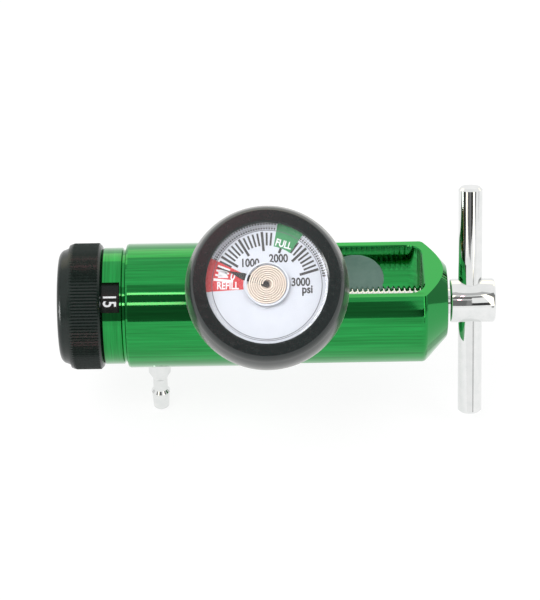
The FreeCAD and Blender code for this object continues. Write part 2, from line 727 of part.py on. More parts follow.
def round_section(mean_dia, along, wire):
    """Section of round wire, square to the helix, in two half circles."""
    circle = Part.Circle(Vector(mean_dia / 2, 0, 0), along, wire / 2)
    return Part.Wire([
        Part.ArcOfCircle(circle, start_angle, start_angle + math.pi).toShape()
        for start_angle in (0, math.pi)
    ])


def square_section(mean_dia, along, wire):
    """Section of square wire, square to the helix."""
    out = Vector(wire / 2, 0, 0)
    up = Vector(0, -along.z, along.y).normalize() * (wire / 2)
    centre = Vector(mean_dia / 2, 0, 0)
    corners = [centre - out - up, centre + out - up, centre + out + up, centre - out + up]
    return Part.makePolygon(corners + corners[:1])


def coil_spring(start, axis, length, mean_dia, wire, turns, make_section):
    """Open coil spring between two flat ends."""
    free = length - wire
    helix = Part.makeHelix(free / turns, free, mean_dia / 2)
    along = Vector(0, mean_dia / 2, free / turns / (2 * math.pi))
    section = make_section(mean_dia, along, wire)
    coil = Part.Wire(helix).makePipeShell([section], True, True)
    coil.translate(Vector(0, 0, wire / 2))
    coil.Placement = FreeCAD.Placement(start, Rotation(Vector(0, 0, 1), axis)).multiply(coil.Placement)
    return coil


def detent_spring():
    ball_right = detent_ball_x() + DETENT_BALL_DIA / 2
    pocket_end = COLLAR_FLOOR_X + DETENT_POCKET
    angle = math.radians(READING_ANGLE)
    start = Vector(
        ball_right + SEAT_GAP,
        -DETENT_CIRCLE * math.sin(angle),
        DETENT_CIRCLE * math.cos(angle),
    )
    length = pocket_end - SEAT_GAP - start.x
    mean = DETENT_BALL_DIA - DETENT_WIRE - 2 * SEAT_GAP
    return coil_spring(start, Vector(1, 0, 0), length, mean, DETENT_WIRE, DETENT_TURNS, square_section)


def selector_shaft():
    """Shaft from the knob to the metering disc, with a flange behind the collar."""
    radius = SHAFT_DIA / 2
    boss = SHAFT_BOSS_DIA / 2
    flange_x = COLLAR_SPIGOT_END_X + FACE_GAP
    disc_left = DISC_FACE_X - DISC_THICKNESS
    return turned_x([
        (KNOB_END_X + KNOB_WALL, 0),
        (KNOB_END_X + KNOB_WALL, radius),
        (flange_x, radius),
        (flange_x, SHAFT_FLANGE_DIA / 2),
        (disc_left, SHAFT_FLANGE_DIA / 2),
        (disc_left, boss),
        (DISC_FACE_X, boss),
        (DISC_FACE_X, 0),
    ])


def orifice_disc():
    """Metering disc: one hole for each flow but none for 0, the largest at the port at rest."""
    disc = ring_x(
        DISC_FACE_X - DISC_THICKNESS,
        DISC_FACE_X,
        DISC_DIA,
        SHAFT_BOSS_DIA + 2 * SEAT_GAP,
    )
    holes = []
    for step in range(1, FLOW_STEPS):
        turn = 360.0 * (step + 1) / FLOW_STEPS
        diameter = FLOW_HOLE_FIRST + FLOW_HOLE_GROWTH * step
        holes.append(rod_at(DISC_HOLE_CIRCLE, DISC_FACE_X - DISC_THICKNESS - 1,
                            DISC_FACE_X + 1, diameter, turn))
    return disc.cut(holes)


def port_plate():
    """Plate between the piston chamber and the metering disc, with one port and its face seal."""
    plate = along_x(CHAMBER_END, CHAMBER_END + PORT_PLATE, CHAMBER_DIA)
    port = rod_at(DISC_HOLE_CIRCLE, CHAMBER_END - 1, CHAMBER_END + PORT_PLATE + 1, PORT_DIA)
    seal_seat = rod_at(DISC_HOLE_CIRCLE, CHAMBER_END - 1, CHAMBER_END + SEAL_CORD - FACE_GAP / 2,
                       PORT_DIA + 2 * SEAL_CORD + 2 * SEAT_GAP)
    groove_x = CHAMBER_END + PORT_PLATE / 2
    groove = ring_x(
        groove_x - SEAL_CORD / 2 - TRIM_GAP,
        groove_x + SEAL_CORD / 2 + TRIM_GAP,
        CHAMBER_DIA + 1,
        CHAMBER_DIA - 2 * SEAL_CORD,
    )
    return plate.cut(port).cut(seal_seat).cut(groove)


def port_seal():
    """Small ring that the metering disc slides on."""
    ring = rod_at(DISC_HOLE_CIRCLE, CHAMBER_END - FACE_GAP / 2,
                  CHAMBER_END + SEAL_CORD - FACE_GAP / 2, PORT_DIA + 2 * SEAL_CORD)
    hole = rod_at(DISC_HOLE_CIRCLE, CHAMBER_END - 1, CHAMBER_END + SEAL_CORD + 1, PORT_DIA)
    return ring.cut(hole)


def port_plate_seal():
    mean = CHAMBER_DIA / 2 - SEAL_CORD / 2
    return torus_x(CHAMBER_END + PORT_PLATE / 2, mean, SEAL_CORD - SEAT_GAP)


def piston_groove_x():
    return PISTON_HEAD_X + PISTON_HEAD / 2


def stem_groove_x():
    return PISTON_FLOOR_X + STEM_SEAL_DEPTH


def regulating_piston():
    """Head towards the port plate, hollow stem towards the inlet."""
    head = PISTON_BORE / 2 - RUN_GAP
    stem = PISTON_STEM_DIA / 2
    solid = turned_x([
        (PISTON_HEAD_X, 0),
        (PISTON_HEAD_X, head),
        (PISTON_HEAD_X + PISTON_HEAD, head),
        (PISTON_HEAD_X + PISTON_HEAD, stem),
        (STEM_END_X, stem),
        (STEM_END_X, 0),
    ])
    groove_x = piston_groove_x()
    groove = ring_x(
        groove_x - SEAL_CORD / 2 - TRIM_GAP,
        groove_x + SEAL_CORD / 2 + TRIM_GAP,
        PISTON_BORE + 1,
        PISTON_BORE - 2 * SEAL_CORD,
    )
    stem_groove = ring_x(
        stem_groove_x() - SEAL_CORD / 2 - TRIM_GAP,
        stem_groove_x() + SEAL_CORD / 2 + TRIM_GAP,
        PISTON_STEM_DIA + 1,
        PISTON_STEM_DIA - 2 * SEAL_CORD,
    )
    drill_end = STEM_END_X - SEAT_LENGTH - PISTON_CROSS_DRILL / 2
    drill = along_x(PISTON_HEAD_X - 1, drill_end, PISTON_DRILL)
    cross = rod_z(-PISTON_STEM_DIA, PISTON_STEM_DIA, PISTON_CROSS_DRILL)
    cross.translate(Vector(drill_end - PISTON_CROSS_DRILL / 2, 0, 0))
    seat = along_x(STEM_END_X - SEAT_LENGTH, STEM_END_X + 1, SEAT_DIA + 2 * SEAT_GAP)
    return solid.cut(groove).cut(stem_groove).cut(drill).cut(cross).cut(seat)


def piston_head_seal():
    return torus_x(piston_groove_x(), PISTON_BORE / 2 - SEAL_CORD / 2, SEAL_CORD - 2 * RUN_GAP)


def piston_stem_seal():
    return torus_x(stem_groove_x(), PISTON_STEM_DIA / 2 - SEAL_CORD / 2, SEAL_CORD)


def valve_seat():
    return along_x(STEM_END_X - SEAT_LENGTH, STEM_END_X, SEAT_DIA)


def piston_spring():
    start = Vector(PISTON_HEAD_X + PISTON_HEAD + SEAT_GAP, 0, 0)
    length = PISTON_FLOOR_X - SEAT_GAP - start.x
    return coil_spring(
        start,
        Vector(1, 0, 0),
        length,
        SPRING_MEAN_DIA,
        SPRING_WIRE,
        SPRING_TURNS,
        round_section,
    )


def gauge_stem():
    """Brass socket: screwed into the body, square for the spanner, drilled for the gas."""
    thread = rod_z(STEM_THREAD_DEPTH, BODY_DIA / 2, STEM_THREAD_DIA)
    square = block(
        -STEM_SQUARE / 2,
        STEM_SQUARE / 2,
        -STEM_SQUARE / 2,
        STEM_SQUARE / 2,
        math.sqrt(BODY_DIA ** 2 - STEM_SQUARE ** 2) / 2,
        STEM_TOP,
    )
    round_body = Part.makeCylinder(BODY_DIA / 2 + SEAT_GAP, 4 * STEM_SQUARE,
                                   Vector(-2 * STEM_SQUARE, 0, 0), Vector(1, 0, 0))
    square = square.cut(round_body)
    neck = rod_z(BODY_DIA / 2 - 1, STEM_TOP, STEM_THREAD_DIA)
    stem = thread.fuse([square, neck]).removeSplitter()
    return lean(stem.cut(rod_z(0, STEM_TOP + 1, INLET_DRILL)), GAUGE_X, READING_ANGLE)


def gauge_case():
    """Drawn cup round the coil and the dial."""
    outer = CASE_DIA / 2
    inner = outer - CASE_WALL
    stem_hole = STEM_SQUARE * math.sqrt(2) / 2 + TRIM_GAP
    cup = turned_z([
        (stem_hole, CASE_BACK),
        (outer - 1.5, CASE_BACK),
        (outer, CASE_BACK + 1.5),
        (outer, CASE_FRONT),
        (inner, CASE_FRONT),
        (inner, CASE_BACK + CASE_WALL + 1.0),
        (inner - 1.0, CASE_BACK + CASE_WALL),
        (stem_hole, CASE_BACK + CASE_WALL),
    ])
    return lean(cup, GAUGE_X, READING_ANGLE)


def gauge_dial():
    dial = rod_z(DIAL_LEVEL, DIAL_LEVEL + DIAL_THICKNESS, DIAL_DIA)
    dial = dial.cut(rod_z(DIAL_LEVEL - 1, DIAL_LEVEL + 2, DIAL_HOLE_DIA))
    return lean(dial, GAUGE_X, READING_ANGLE)


def spiral_outline(first_radius, pitch, half_turns, offset):
    """Half circles whose radius grows by half a pitch each, as edges in order."""
    edges = []
    for turn in range(half_turns):
        side = 1 if turn % 2 == 0 else -1
        radius = first_radius + turn * pitch / 2 + offset
        centre_x = side * pitch / 4
        start = Vector(centre_x - side * radius, 0, 0)
        middle = Vector(centre_x, side * radius, 0)
        end = Vector(centre_x + side * radius, 0, 0)
        edges.append(Part.Arc(start, middle, end).toShape())
    return edges


def bourdon_coil():
    """Spiral tube, flattened, seen on edge at the middle of the dial."""
    half = COIL_BAND / 2
    outer = spiral_outline(COIL_FIRST_RADIUS, COIL_SPACING, COIL_HALF_TURNS, half)
    inner = spiral_outline(COIL_FIRST_RADIUS, COIL_SPACING, COIL_HALF_TURNS, -half)
    first = Part.LineSegment(
        inner[0].Vertexes[0].Point,
        outer[0].Vertexes[0].Point,
    ).toShape()
    last = Part.LineSegment(
        outer[-1].Vertexes[-1].Point,
        inner[-1].Vertexes[-1].Point,
    ).toShape()
    loop = Part.Wire(Part.__sortEdges__([first] + outer + [last] + inner))
    coil = Part.Face(loop).extrude(Vector(0, 0, COIL_HEIGHT))
    coil.translate(Vector(0, 0, COIL_LEVEL))
    post = rod_z(STEM_TOP + SEAT_GAP, DIAL_LEVEL, POST_DIA)
    second_turn = COIL_FIRST_RADIUS + COIL_SPACING / 2
    riser = block(
        -COIL_SPACING / 2,
        0,
        -second_turn - half,
        -second_turn + half,
        DIAL_LEVEL - 1,
        COIL_LEVEL + COIL_HEIGHT / 2,
    )
    hole = rod_z(arbor_foot() - SEAT_GAP, COIL_LEVEL + COIL_HEIGHT + 1, ARBOR_DIA + 2 * RUN_GAP)
    whole = post.fuse([riser, coil]).cut(hole)
    return lean(whole.removeSplitter(), GAUGE_X, READING_ANGLE)


def arbor_foot():
    return DIAL_LEVEL - ARBOR_DEPTH


def gauge_pointer():
    """Arbor with its short blade, which passes between the dial and the coil."""
    side = [
        (0, POINTER_FOOT_WIDTH / 2),
        (POINTER_ROOT, POINTER_WIDTH / 2),
        (POINTER_SHOULDER, POINTER_NEEDLE / 2),
        (POINTER_LENGTH, POINTER_NEEDLE / 2),
    ]
    corners = [Vector(x, -y, 0) for x, y in side] + [Vector(x, y, 0) for x, y in reversed(side)]
    blade_face = Part.Face(Part.makePolygon(corners + corners[:1]))
    blade = blade_face.extrude(Vector(0, 0, POINTER_THICKNESS))
    blade.translate(Vector(0, 0, POINTER_LEVEL))
    arbor = rod_z(arbor_foot(), COIL_LEVEL + COIL_HEIGHT, ARBOR_DIA)
    pointer = blade.fuse(arbor).removeSplitter()
    pointer.rotate(Vector(0, 0, 0), Vector(0, 0, 1), POINTER_ANGLE)
    return lean(pointer, GAUGE_X, READING_ANGLE)


def coil_ring():
    """White ring bonded behind the crystal, round the coil."""
    top = CASE_FRONT - SEAT_GAP
    ring = rod_z(top - COIL_RING_HEIGHT, top, COIL_RING_DIA)
    hole = rod_z(top - 2 * COIL_RING_HEIGHT, top + 1, COIL_RING_DIA - 2 * COIL_RING_WALL)
    return lean(ring.cut(hole), GAUGE_X, READING_ANGLE)


def gauge_crystal():
    radius = CRYSTAL_DIA / 2
    view = VIEW_DIA / 2
    flange = CASE_FRONT + CRYSTAL_FLANGE
    lens = turned_z([
        (0, CASE_FRONT),
        (radius, CASE_FRONT),
        (radius, flange),
        (view - SEAT_GAP, flange),
        (view - CRYSTAL_BEVEL, CRYSTAL_FRONT),
        (0, CRYSTAL_FRONT),
    ])
    return lean(lens, GAUGE_X, READING_ANGLE)


def gauge_boot():
    """Rubber boot: a barrel with a rounded shoulder and a lip over the crystal."""
    inner = CASE_DIA / 2 + TRIM_GAP
    back_hole = BOOT_BACK_HOLE / 2
    lip = VIEW_DIA / 2
    barrel = [
        Vector(BOOT_BACK_DIA / 2 - BOOT_EDGE, 0, BOOT_BACK),
        Vector(BOOT_BACK_DIA / 2, 0, BOOT_BACK + BOOT_EDGE),
        Vector(BOOT_BELLY_DIA / 2, 0, BOOT_BELLY),
        Vector(BOOT_SHOULDER_DIA / 2, 0, BOOT_SHOULDER),
        Vector(BOOT_FRONT_DIA / 2, 0, BOOT_FRONT),
    ]
    belly = Part.Arc(barrel[1], barrel[2], barrel[3]).toShape()
    rest = [
        Vector(lip + 0.5, 0, BOOT_FRONT),
        Vector(lip, 0, BOOT_FRONT - 0.5),
        Vector(lip, 0, CASE_FRONT + CRYSTAL_FLANGE),
        Vector(inner, 0, CASE_FRONT + CRYSTAL_FLANGE),
        Vector(inner, 0, CASE_BACK - TRIM_GAP),
        Vector(back_hole, 0, CASE_BACK - TRIM_GAP),
        Vector(back_hole, 0, BOOT_BACK),
        barrel[0],
    ]
    edges = [Part.makeLine(barrel[0], barrel[1]), belly]
    corner = Vector(
        BOOT_SHOULDER_DIA / 2 - 2 * BOOT_ROUND,
        0,
        (BOOT_SHOULDER + BOOT_FRONT) / 2 + BOOT_ROUND,
    )
    edges.append(Part.Arc(barrel[3], corner, barrel[4]).toShape())
    edges.append(Part.makeLine(barrel[4], rest[0]))
    edges += [Part.makeLine(a, b) for a, b in zip(rest, rest[1:])]
    profile = Part.Face(Part.Wire(edges))
    boot = profile.revolve(Vector(0, 0, 0), Vector(0, 0, 1), 360)
    return lean(boot, GAUGE_X, READING_ANGLE)


def outlet_barb():
    """Hose barb: thread, round base, cone, neck, ridge and tapered nose."""
    surface = BODY_DIA / 2
    flange_top = surface + BARB_FLANGE
    neck_start = flange_top + BARB_CONE
    ridge = neck_start + BARB_NECK
    nose = ridge + BARB_RIDGE
    end = nose + BARB_NOSE
    thread = BARB_THREAD_DIA / 2
    solid = turned_z([
        (0, surface - BARB_THREAD_DEPTH),
        (thread, surface - BARB_THREAD_DEPTH),
        (thread, surface + 0.1),
        (BARB_FLANGE_DIA / 2, surface + 0.1),
        (BARB_FLANGE_DIA / 2, flange_top),
        (BARB_NECK_DIA / 2, neck_start),
        (BARB_NECK_DIA / 2, ridge),
        (BARB_RIDGE_DIA / 2, nose),
        (BARB_RIDGE_DIA / 2 - 0.15, nose + 0.8),
        (BARB_TIP_DIA / 2, end - BARB_TIP_ROUND),
        (BARB_TIP_DIA / 2 - BARB_TIP_ROUND, end),
        (0, end),
    ])
    solid = solid.cut(rod_z(0, end + 1, BARB_BORE))
    return to_down(solid, BARB_X)


def round_tag():
    """Thin round plate on the inner face of the far arm, midway along the window."""
    middle_x = SEAT_X + WINDOW_LENGTH / 2
    wall_y = WINDOW_WIDTH / 2
    return Part.makeCylinder(
        TAG_DIA / 2,
        TAG_THICKNESS,
        Vector(middle_x, wall_y - TAG_THICKNESS, 0),
        Vector(0, 1, 0),
    )


PIECES = {
    "yoke_body": yoke_body,
    "bonnet_collar": bonnet_collar,
    "flow_knob": flow_knob,
    "number_skirt": number_skirt,
    "knob_set_screw": knob_set_screw,
    "selector_shaft": selector_shaft,
    "orifice_disc": orifice_disc,
    "shaft_seal": shaft_seal,
    "detent_ball": detent_ball,
    "detent_spring": detent_spring,
    "port_plate": port_plate,
    "port_seal": port_seal,
    "port_plate_seal": port_plate_seal,
    "regulating_piston": regulating_piston,
    "piston_head_seal": piston_head_seal,
    "piston_stem_seal": piston_stem_seal,
    "valve_seat": valve_seat,
    "piston_spring": piston_spring,
    "inlet_nipple": inlet_nipple,
    "inlet_filter": inlet_filter,
    "sealing_washer": sealing_washer,
    "index_pins": index_pins,
    "gauge_stem": gauge_stem,
    "gauge_case": gauge_case,
    "gauge_dial": gauge_dial,
    "bourdon_coil": bourdon_coil,
    "coil_ring": coil_ring,
    "gauge_pointer": gauge_pointer,
    "gauge_crystal": gauge_crystal,
    "gauge_boot": gauge_boot,
    "outlet_barb": outlet_barb,
    "tee_screw": tee_screw,
    "tee_bar": tee_bar,
    "thrust_tip": thrust_tip,
    "round_tag": round_tag,
}


def main():
    os.makedirs("parts", exist_ok=True)
    for name, make in PIECES.items():
        shape = make()
        if not shape.isValid():
            raise ValueError(name + " is not a valid shape")
        print(name, len(shape.Solids), "solid", round(shape.Volume, 2), "mm3")
        shape.exportStep("parts/" + name + ".step")


main()
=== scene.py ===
import json
import math

import bmesh
import bpy

from mathutils import Matrix, Vector

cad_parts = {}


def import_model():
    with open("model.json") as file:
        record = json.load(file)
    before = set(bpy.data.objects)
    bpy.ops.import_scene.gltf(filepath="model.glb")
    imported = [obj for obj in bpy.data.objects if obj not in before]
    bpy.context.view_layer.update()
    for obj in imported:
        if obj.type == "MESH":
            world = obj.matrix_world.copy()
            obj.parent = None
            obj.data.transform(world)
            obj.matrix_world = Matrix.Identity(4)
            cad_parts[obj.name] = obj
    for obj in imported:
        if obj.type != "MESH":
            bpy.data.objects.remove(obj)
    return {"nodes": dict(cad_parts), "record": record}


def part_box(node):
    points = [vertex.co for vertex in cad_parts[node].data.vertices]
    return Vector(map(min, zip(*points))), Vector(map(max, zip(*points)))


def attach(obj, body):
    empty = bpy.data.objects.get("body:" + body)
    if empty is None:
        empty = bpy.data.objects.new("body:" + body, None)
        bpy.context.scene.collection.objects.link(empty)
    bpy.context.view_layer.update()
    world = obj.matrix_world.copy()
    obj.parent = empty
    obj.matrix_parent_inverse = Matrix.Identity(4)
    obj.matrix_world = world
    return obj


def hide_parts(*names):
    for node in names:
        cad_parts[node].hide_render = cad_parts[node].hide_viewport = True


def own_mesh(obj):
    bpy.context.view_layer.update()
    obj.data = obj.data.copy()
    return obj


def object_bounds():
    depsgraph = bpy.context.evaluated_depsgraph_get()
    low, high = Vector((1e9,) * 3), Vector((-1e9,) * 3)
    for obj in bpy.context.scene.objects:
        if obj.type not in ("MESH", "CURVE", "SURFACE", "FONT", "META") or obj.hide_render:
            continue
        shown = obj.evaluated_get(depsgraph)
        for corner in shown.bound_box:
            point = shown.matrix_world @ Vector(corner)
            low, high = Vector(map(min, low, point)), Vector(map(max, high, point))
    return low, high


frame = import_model()
cad_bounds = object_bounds()

# Lengths are in metres, angles in degrees. The body's axis is X, up is Z, the user is at -Y.
MM = 0.001


def mix(a, b, share):
    return tuple(x + (y - x) * share for x, y in zip(a, b))


# Finishes

NOISE_SPAN = (0.3, 0.7)         # most of a noise's values lie in it


class Paint:
    """A node material with one Principled shader, and helpers that wire noise into it."""

    def __init__(self, name, color, roughness, metallic=0.0, **sockets):
        self.material = bpy.data.materials.new(name)
        self.material.use_nodes = True
        self.nodes = self.material.node_tree.nodes
        self.links = self.material.node_tree.links
        self.shader = self.nodes["Principled BSDF"]
        self.shader.inputs["Base Color"].default_value = (*color, 1)
        self.shader.inputs["Roughness"].default_value = roughness
        self.shader.inputs["Metallic"].default_value = metallic
        for socket, value in sockets.items():
            self.shader.inputs[socket.replace("_", " ")].default_value = value
        self.place = self.nodes.new("ShaderNodeTexCoord").outputs["Object"]

    def noise(self, scale, detail=2.0, rough=0.5, stretch=(1, 1, 1)):
        mapping = self.nodes.new("ShaderNodeMapping")
        mapping.inputs["Scale"].default_value = stretch
        self.links.new(self.place, mapping.inputs["Vector"])
        noise = self.nodes.new("ShaderNodeTexNoise")
        noise.inputs["Scale"].default_value = scale
        noise.inputs["Detail"].default_value = detail
        noise.inputs["Roughness"].default_value = rough
        self.links.new(mapping.outputs["Vector"], noise.inputs["Vector"])
        return noise.outputs["Fac"]

    def tint(self, factor, low, high, span=NOISE_SPAN):
        """The colour goes from low to high as the factor crosses the span."""
        ramp = self.nodes.new("ShaderNodeValToRGB")
        for stop, position, color in zip(ramp.color_ramp.elements, span, (low, high)):
            stop.position = position
            stop.color = (*color, 1)
        self.links.new(factor, ramp.inputs["Fac"])
        self.links.new(ramp.outputs["Color"], self.shader.inputs["Base Color"])

    def fade(self, factor, start, end):
        """The factor goes to one half between two places along X."""
        split = self.nodes.new("ShaderNodeSeparateXYZ")
        share = self.nodes.new("ShaderNodeMapRange")
        blend = self.nodes.new("ShaderNodeMix")
        share.inputs["From Min"].default_value = start
        share.inputs["From Max"].default_value = end
        self.links.new(self.place, split.inputs["Vector"])
        self.links.new(split.outputs["X"], share.inputs["Value"])
        self.links.new(share.outputs["Result"], blend.inputs[0])
        self.links.new(factor, blend.inputs[2])
        blend.inputs[3].default_value = 0.5
        return blend.outputs[0]

    def roughen(self, factor, low, high):
        """The roughness goes from low to high as the factor crosses the noise's span."""
        spread = self.nodes.new("ShaderNodeMapRange")
        spread.inputs["From Min"].default_value = NOISE_SPAN[0]
        spread.inputs["From Max"].default_value = NOISE_SPAN[1]
        spread.inputs["To Min"].default_value = low
        spread.inputs["To Max"].default_value = high
        self.links.new(factor, spread.inputs["Value"])
        self.links.new(spread.outputs["Result"], self.shader.inputs["Roughness"])

    def bump(self, factor, depth, strength, below=None):
        """Relief of a depth in millimetres, on top of another one if that is given."""
        bump = self.nodes.new("ShaderNodeBump")
        bump.inputs["Strength"].default_value = strength
        bump.inputs["Distance"].default_value = depth * MM
        self.links.new(factor, bump.inputs["Height"])
        if below is not None:
            self.links.new(below, bump.inputs["Normal"])
        self.links.new(bump.outputs["Normal"], self.shader.inputs["Normal"])
        return bump.outputs["Normal"]


GREEN = (0.003, 0.3, 0.047)
GREEN_BRIGHT = (0.08, 0.6, 0.2)
BLACK = (0, 0, 0)
WHITE = (1, 1, 1)
CONE_FADE = (36.5 * MM, 38.5 * MM)      # where the drawn bar's lines fade, at the end cone
ALONG = (0.02, 1, 1)                    # stretch of a noise into lines along the axis
AROUND = (1, 0.03, 0.03)                # and into rings round it


def green_anodised(name, stretch):
    """Bright anodised aluminium with fine lines, which fade on the end cone."""
    paint = Paint(name, GREEN, 0.06, metallic=1.0, Coat_Weight=0.45, Coat_Roughness=0.03)
    fine = paint.noise(900, detail=4.0, rough=0.75, stretch=stretch)
    broad = paint.noise(260, rough=0.6, stretch=stretch)
    lines = paint.fade(fine, *CONE_FADE)
    paint.tint(lines, mix(GREEN, BLACK, 0.3), mix(GREEN, GREEN_BRIGHT, 0.1), (0.36, 0.62))
    paint.roughen(broad, 0.045, 0.085)
    first = paint.bump(lines, depth=0.008, strength=0.12)
    paint.bump(broad, depth=0.02, strength=0.15, below=first)
    return paint.material


def chrome(name):
    paint = Paint(name, (0.78, 0.79, 0.785), 0.04, metallic=1.0)
    cloud = paint.noise(400)
    paint.tint(cloud, (0.75, 0.765, 0.76), (0.81, 0.815, 0.81))
    paint.roughen(cloud, 0.03, 0.06)
    paint.bump(paint.noise(250, detail=1.0), depth=0.01, strength=0.15)
    return paint.material


def machined(name, dark, bright, roughness):
    """Turned metal: fine rings round the body axis."""
    paint = Paint(name, bright, roughness, metallic=1.0)
    rings = paint.noise(1500, rough=0.6, stretch=(1, 0.05, 0.05))
    paint.tint(rings, dark, bright)
    paint.roughen(rings, roughness * 0.8, roughness * 1.3)
    paint.bump(rings, depth=0.01, strength=0.3)
    return paint.material


def moulded(name, low, high, roughness, grain, depth, **sockets):
    """Plastic, rubber or enamel with a fine grain."""
    paint = Paint(name, high, roughness, **sockets)
    specks = paint.noise(grain, detail=3.0, rough=0.6)
    paint.tint(specks, low, high)
    paint.roughen(specks, roughness * 0.85, roughness * 1.15)
    paint.bump(specks, depth, strength=0.5)
    return paint.material


def ink(name, color):
    paint = Paint(name, color, 0.4)
    paint.tint(paint.noise(2500), mix(color, BLACK, 0.06), mix(color, WHITE, 0.05))
    return paint.material


def clear_lens(name):
    """Clear plastic that lets the light through to the dial."""
    paint = Paint(name, WHITE, 0.0, Transmission_Weight=1.0, IOR=1.49)
    paint.roughen(paint.noise(300), 0.0, 0.015)
    clear = paint.nodes.new("ShaderNodeBsdfTransparent")
    path = paint.nodes.new("ShaderNodeLightPath")
    either = paint.nodes.new("ShaderNodeMixShader")
    output = paint.nodes["Material Output"]
    paint.links.new(path.outputs["Is Shadow Ray"], either.inputs["Fac"])
    paint.links.new(paint.shader.outputs["BSDF"], either.inputs[1])
    paint.links.new(clear.outputs["BSDF"], either.inputs[2])
    paint.links.new(either.outputs["Shader"], output.inputs["Surface"])
    return paint.material


# The finish of each material slot, and of the collar, which is turned and not drawn
FINISH = {
    "green_anodised": green_anodised("green_anodised", ALONG),
    "green_turned": green_anodised("green_turned", AROUND),
    "black_knob": moulded(
        "black_knob", (0.0035, 0.0085, 0.0065), (0.006, 0.0145, 0.0115),
        roughness=0.24, grain=900, depth=0.01, Specular_IOR_Level=0.36,
    ),
    "black_skirt": moulded(
        "black_skirt", (0.0015, 0.0045, 0.004), (0.003, 0.008, 0.0075),
        roughness=0.3, grain=900, depth=0.01, Specular_IOR_Level=0.3,
    ),
    "boot_rubber": moulded(
        "boot_rubber", (0.007, 0.0125, 0.0125), (0.010, 0.0175, 0.017),
        roughness=0.2, grain=700, depth=0.005,
        Sheen_Weight=0.3, Sheen_Roughness=0.3, Sheen_Tint=(1, 0.96, 0.88, 1),
    ),
    "bright_chrome": chrome("bright_chrome"),
    "steel": machined("steel", (0.42, 0.42, 0.43), (0.6, 0.6, 0.61), roughness=0.25),
    "brass": machined("brass", (0.6, 0.42, 0.17), (0.78, 0.57, 0.27), roughness=0.25),
    "bronze": machined("bronze", (0.8, 0.7, 0.6), (0.9, 0.82, 0.73), roughness=0.45),
    "seal_rubber": moulded(
        "seal_rubber", (0.015, 0.015, 0.015), (0.03, 0.03, 0.03),
        roughness=0.55, grain=800, depth=0.03,
    ),
    "seat_plastic": moulded(
        "seat_plastic", (0.62, 0.61, 0.54), (0.7, 0.69, 0.62),
        roughness=0.45, grain=500, depth=0.02,
    ),
    "dial_print": moulded(
        "dial_enamel", (0.6, 0.635, 0.7), (0.63, 0.665, 0.73),
        roughness=0.4, grain=300, depth=0.005,
    ),
    "pointer_black": moulded(
        "pointer_black", (0.008, 0.008, 0.008), (0.015, 0.015, 0.015),
        roughness=0.4, grain=900, depth=0.01,
    ),
    "lens": clear_lens("lens"),
    "tag_grey": moulded(
        "tag_grey", (0.2, 0.34, 0.29), (0.24, 0.39, 0.335),
        roughness=0.35, grain=400, depth=0.01,
    ),
}
INK = {
    "black": ink("ink_black", (0.012, 0.012, 0.014)),
    "red": ink("ink_red", (0.6, 0.008, 0.016)),
    "green": ink("ink_green", (0.008, 0.26, 0.075)),
    "white": ink("ink_white", (0.78, 0.79, 0.82)),
    "grey": ink("ink_grey", (0.09, 0.1, 0.12)),
    "cream": ink("ink_cream", (0.66, 0.55, 0.45)),
}


def dress_frame():
    """Each node takes the finish of its slot, with smooth faces."""
    for part in frame["record"]["subparts"]:
        node = frame["nodes"][part["node"]]
        node.data.materials.clear()
        node.data.materials.append(FINISH[part["material_slot"]])
        node.data.shade_smooth()


def add_object(name, data):
    thing = bpy.data.objects.new(name, data)
    bpy.context.scene.collection.objects.link(thing)
    return thing


def add_piece(name, mesh, body, finish):
    """A new mesh object that rides on a body."""
    piece = add_object(name, mesh)
    mesh.materials.clear()
    mesh.materials.append(finish)
    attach(piece, body)
    return piece


def mesh_from(bm, name):
    bmesh.ops.recalc_face_normals(bm, faces=bm.faces)
    mesh = bpy.data.meshes.new(name)
    bm.to_mesh(mesh)
    bm.free()
    return mesh


# The dial: on it X points right, Y up and Z to the reader, and angles run from its right

GAUGE_LEAN = 45.0               # of the dial, from facing up towards the user
dial_low, dial_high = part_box("gauge_dial")
lean = math.radians(GAUGE_LEAN)
DIAL_RADIUS = (dial_high.x - dial_low.x) / 2
DIAL_THICKNESS = (dial_high.z - dial_low.z) / math.sin(lean) - 2 * DIAL_RADIUS
dial_middle = (dial_low + dial_high) / 2
DIAL_FACE = dial_middle.yz.length + DIAL_THICKNESS / 2
GAUGE_PLACE = Matrix.Translation((dial_middle.x, 0, 0)) @ Matrix.Rotation(lean, 4, "X")

PRINT_THICKNESS = 0.02 * MM
TEXT_LEVEL = 1.6                # of the text's middle, in thicknesses above the dial
FONT_STEPS = 4

ZERO_ANGLE = 173.6              # of the scale's zero
FULL_ANGLE = 16.0               # of the scale's end
SCALE_END = 3000
SCALE_STEP = 100
MAJOR_STEP = 500
MAJOR_TICK = (9.9 * MM, 15.6 * MM)
MINOR_TICK = (11.5 * MM, 15.3 * MM)
MAJOR_WIDTH = 0.74 * MM
MINOR_WIDTH = 0.56 * MM
ZONE_TICK = (9.9 * MM, 11.4 * MM)       # what shows of the tick that the green zone covers
ZONE_TICK_VALUE = 2000
RING = (16.0 * MM, 0.2 * MM)            # radius and width of the thin ring round the scale
TRACK_STEP = 50
TRACK_END = SCALE_END + 200
TRACK_ROWS = ((16.3 * MM, 16.8 * MM), (17.3 * MM, 17.85 * MM))
TRACK_WIDTH = 0.46 * MM
COIL_FLOOR = (4.1 * MM, 3.1 * MM)       # radius and width of the pale ring under the coil

